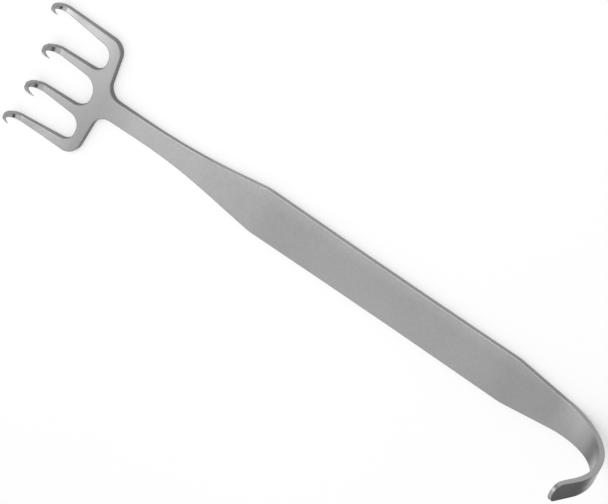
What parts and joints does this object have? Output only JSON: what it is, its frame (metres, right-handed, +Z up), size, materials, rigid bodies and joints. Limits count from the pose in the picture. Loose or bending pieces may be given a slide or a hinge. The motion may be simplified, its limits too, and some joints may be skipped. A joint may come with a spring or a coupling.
{
  "type": "handheld surgical retractor",
  "caption": "Double-ended stainless steel hand retractor with a sharp hooked rake at one end and an upturned narrow blade at the other.",
  "frame": {"origin": "on the flat back of the handle, at mid length and mid width", "axes": "+X along the handle towards the narrow blade, +Y across the handle, +Z up out of the face, the way the hooks and the blade turn"},
  "size_m": [0.165, 0.03, 0.0342],
  "materials": {
    "satin_steel": "satin"
  },
  "bodies": {
    "root": {"retractor": "satin_steel"}
  },
  "joints": []
}
